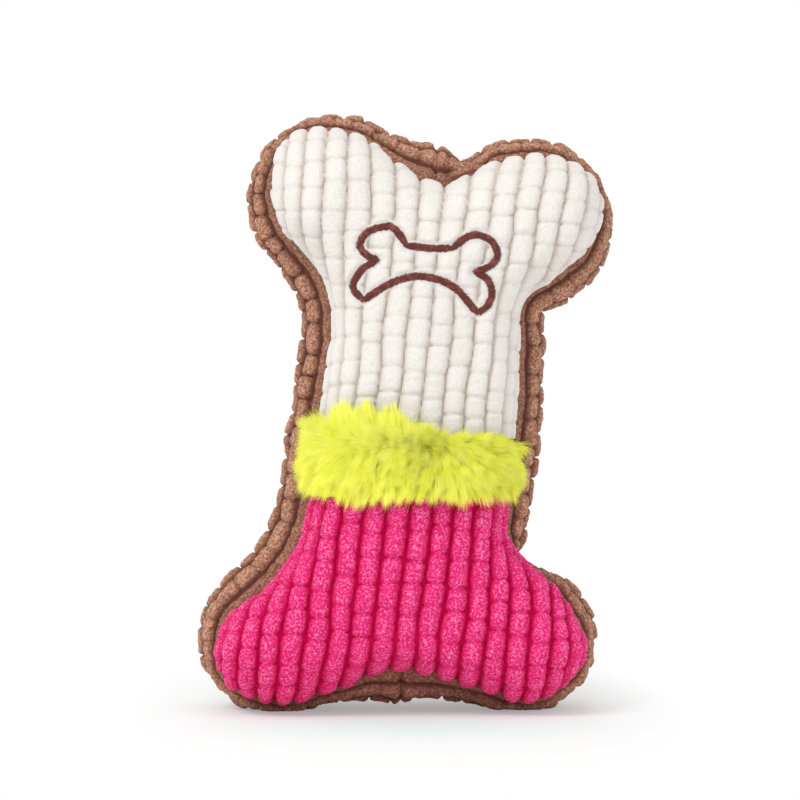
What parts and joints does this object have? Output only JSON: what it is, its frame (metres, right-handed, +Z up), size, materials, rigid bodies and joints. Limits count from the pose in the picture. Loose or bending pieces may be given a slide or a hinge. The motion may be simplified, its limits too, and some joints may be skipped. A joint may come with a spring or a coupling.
{
  "type": "squeaky dog toy",
  "caption": "Stuffed bone-shaped dog toy of corduroy and faux fur, standing upright, with an embroidered bone and a squeaker that sounds when its front is squeezed.",
  "frame": {"origin": "on the floor under the middle of the toy's box", "axes": "+Z up along the bone's length as it stands, front face towards -Y, +X to the right as seen from the front"},
  "size_m": [0.1386, 0.077, 0.2],
  "materials": {
    "white_corduroy": "matte pile",
    "lime_fur": "long soft pile",
    "pink_corduroy": "matte pile",
    "brown_corduroy": "matte pile",
    "satin_thread": "satin sheen",
    "sewing_thread": "matte",
    "non_woven": "matte",
    "fibre_fill": "matte",
    "soft_plastic": "matte",
    "stiff_plastic": "moulded",
    "reed_film": "smooth"
  },
  "bodies": {
    "shell": {"left_gusset": "brown_corduroy", "right_gusset": "brown_corduroy", "back_panel": "brown_corduroy", "front_edge_seam": "sewing_thread", "back_edge_seam": "sewing_thread", "top_gusset_seam": "sewing_thread", "bottom_gusset_seam": "sewing_thread", "closing_stitches": "sewing_thread", "back_fill": "fibre_fill", "squeaker_bladder": "soft_plastic", "squeaker_reed_holder": "stiff_plastic", "squeaker_reed_clamp": "stiff_plastic"},
    "front_face": {"front_upper_panel": "white_corduroy", "front_waist_band": "lime_fur", "front_lower_panel": "pink_corduroy", "bone_embroidery": "satin_thread", "embroidery_backing": "non_woven", "upper_band_seam": "sewing_thread", "lower_band_seam": "sewing_thread", "front_fill": "fibre_fill"},
    "reed": {"squeaker_reed": "reed_film"}
  },
  "joints": [
    {"name": "squeeze", "type": "slide", "parent": "shell", "child": "front_face", "axis": [0, 1, 0], "range_m": [0, 0.012], "stiffness_N_per_m": 400, "deforming": ["front_upper_panel", "front_waist_band", "front_lower_panel", "bone_embroidery", "embroidery_backing", "upper_band_seam", "lower_band_seam", "front_fill", "front_edge_seam", "back_fill", "squeaker_bladder", "top_gusset_seam", "bottom_gusset_seam"]},
    {"name": "reed_flutter", "type": "hinge", "parent": "shell", "child": "reed", "pos_m": [0.00377, 0.0168, 0.088], "axis": [0, 0, 1], "range_deg": [-3, 3], "stiffness_Nm_per_rad": 0.00001}
  ]
}
